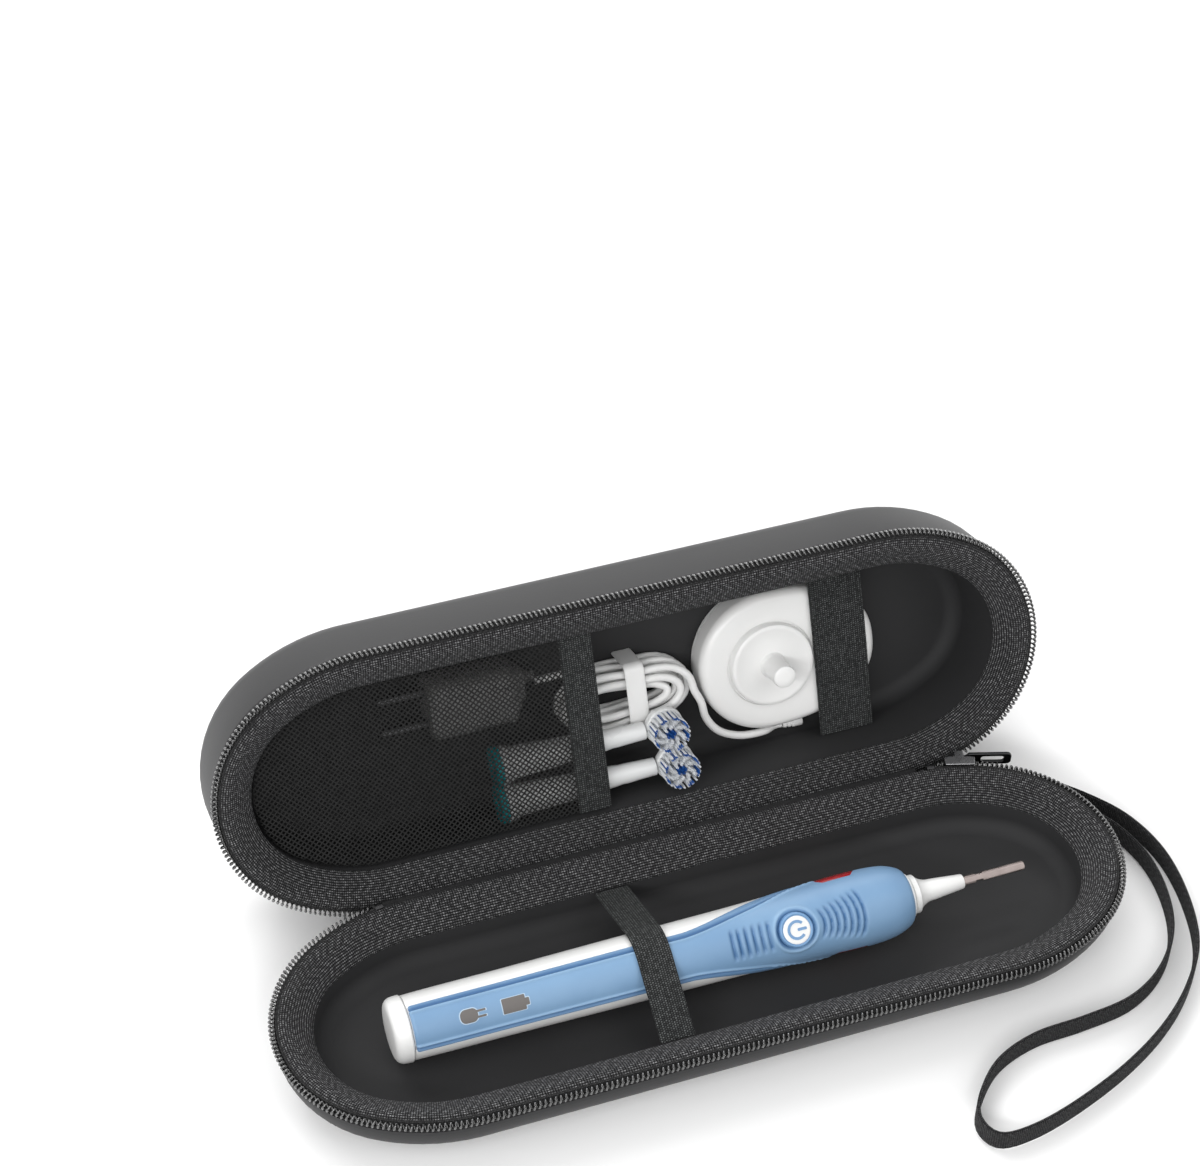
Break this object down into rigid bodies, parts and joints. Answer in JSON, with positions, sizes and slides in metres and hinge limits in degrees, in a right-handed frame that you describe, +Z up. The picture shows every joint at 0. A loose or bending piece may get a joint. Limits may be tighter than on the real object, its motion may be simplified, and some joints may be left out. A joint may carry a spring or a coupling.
{
  "type": "electric toothbrush travel case",
  "caption": "Zipped oval travel case, open, with a rechargeable toothbrush under an elastic band, and a charger, wound cord, plug and spare heads in its lid.",
  "frame": {"origin": "centre of the lower shell's flat bottom, on the surface the case stands on", "axes": "+X along the case towards the zip's slider end, +Y towards the hinge, +Z up out of the lower shell"},
  "size_m": [0.2688, 0.1844, 0.0839],
  "materials": {
    "leather": "matte grained synthetic leather",
    "lining": "smooth matte moulded liner",
    "webbing": "herringbone woven tape",
    "zip_teeth": "coiled nylon teeth",
    "metal": "bright metal",
    "elastic": "ribbed elastic",
    "net": "fine black net",
    "white_plastic": "satin white plastic",
    "blue_grip": "soft light-blue overmould",
    "pressure_light": "translucent red",
    "button": "soft blue button",
    "teal_ring": "teal colour ring",
    "bristle": "white and blue nylon bristles",
    "white_cord": "white cord sheath",
    "plug": "light grey moulded plug",
    "rubber": "black seal",
    "copper": "wound copper",
    "battery_wrap": "battery sleeve",
    "circuit_board": "green laminate"
  },
  "bodies": {
    "base": {"base_shell": "leather", "base_tray": "lining", "base_binding": "webbing", "base_zip_tape": "webbing", "base_zip_teeth": "zip_teeth", "base_zip_stop_right": "metal", "base_zip_stop_left": "metal", "base_band": "elastic", "strap_tab": "webbing", "wrist_strap": "webbing", "hinge_spine": "leather"},
    "lid": {"lid_shell": "leather", "lid_tray": "lining", "lid_binding": "webbing", "lid_zip_tape": "webbing", "lid_zip_teeth": "zip_teeth", "lid_zip_stop_right": "metal", "lid_zip_stop_left": "metal", "pocket_net": "net", "pocket_hem": "elastic", "lid_band": "elastic", "plug_body": "plug", "plug_relief": "plug", "plug_pin_a": "metal", "plug_pin_b": "metal", "cord_hank": "white_cord", "cord_tie": "white_cord", "cord_lead": "white_cord", "head_a_ring": "teal_ring", "head_a_stem": "white_plastic", "head_b_ring": "teal_ring", "head_b_stem": "white_plastic"},
    "slider": {"zip_slider": "metal"},
    "puller": {"zip_puller": "metal"},
    "toothbrush": {"handle_shell": "white_plastic", "handle_grip": "blue_grip", "pressure_light": "pressure_light", "foot_cap": "white_plastic", "seal_ring": "rubber", "charging_coil": "copper", "battery": "battery_wrap", "motor": "metal", "circuit_board": "circuit_board", "neck_collar": "white_plastic"},
    "button": {"power_button": "button"},
    "shaft": {"drive_shaft": "metal"},
    "charger": {"charger_plate": "white_plastic", "charger_body": "white_plastic", "charger_platform": "white_plastic", "charger_peg": "white_plastic", "cord_relief": "white_plastic"},
    "disc_a": {"head_a_disc": "white_plastic", "head_a_bristles": "bristle"},
    "disc_b": {"head_b_disc": "white_plastic", "head_b_bristles": "bristle"}
  },
  "joints": [
    {"name": "lid_hinge", "type": "hinge", "parent": "base", "child": "lid", "pos_m": [0, 0.038, 0.014], "axis": [-1, 0, 0], "range_deg": [-112.39, 0], "deforming": ["hinge_spine"]},
    {"name": "zip_travel", "type": "hinge", "parent": "base", "child": "slider", "pos_m": [0.077, -0.018, 0.018], "axis": [0, 0, -1], "range_deg": [-2, 10]},
    {"name": "puller_swing", "type": "hinge", "parent": "slider", "child": "puller", "pos_m": [0.09484, 0.04034, 0.01775], "axis": [0, 0, 1], "range_deg": [0, 25]},
    {"name": "toothbrush_lift", "type": "slide", "parent": "base", "child": "toothbrush", "axis": [0, 0, 1], "range_m": [0, 0.03], "deforming": ["base_band"]},
    {"name": "button_press", "type": "slide", "parent": "toothbrush", "child": "button", "axis": [0, 0.6947, -0.7193], "range_m": [0, 0.0006], "stiffness_N_per_m": 1500, "springref_m": -0.0005},
    {"name": "shaft_swing", "type": "hinge", "parent": "toothbrush", "child": "shaft", "pos_m": [0.0323, -0.0025, 0.0158], "axis": [1, 0, 0], "range_deg": [-25, 25]},
    {"name": "charger_lift", "type": "slide", "parent": "lid", "child": "charger", "axis": [0, -0.9245, 0.3811], "range_m": [0, 0.03], "deforming": ["lid_band"]},
    {"name": "disc_a_swing", "type": "hinge", "parent": "lid", "child": "disc_a", "pos_m": [0.011, 0.06827, 0.03181], "axis": [0, -0.9245, 0.3811], "range_deg": [-25, 25]},
    {"name": "disc_b_swing", "type": "hinge", "parent": "lid", "child": "disc_b", "pos_m": [0.013, 0.06358, 0.02044], "axis": [0, -0.9245, 0.3811], "range_deg": [-25, 25]}
  ]
}
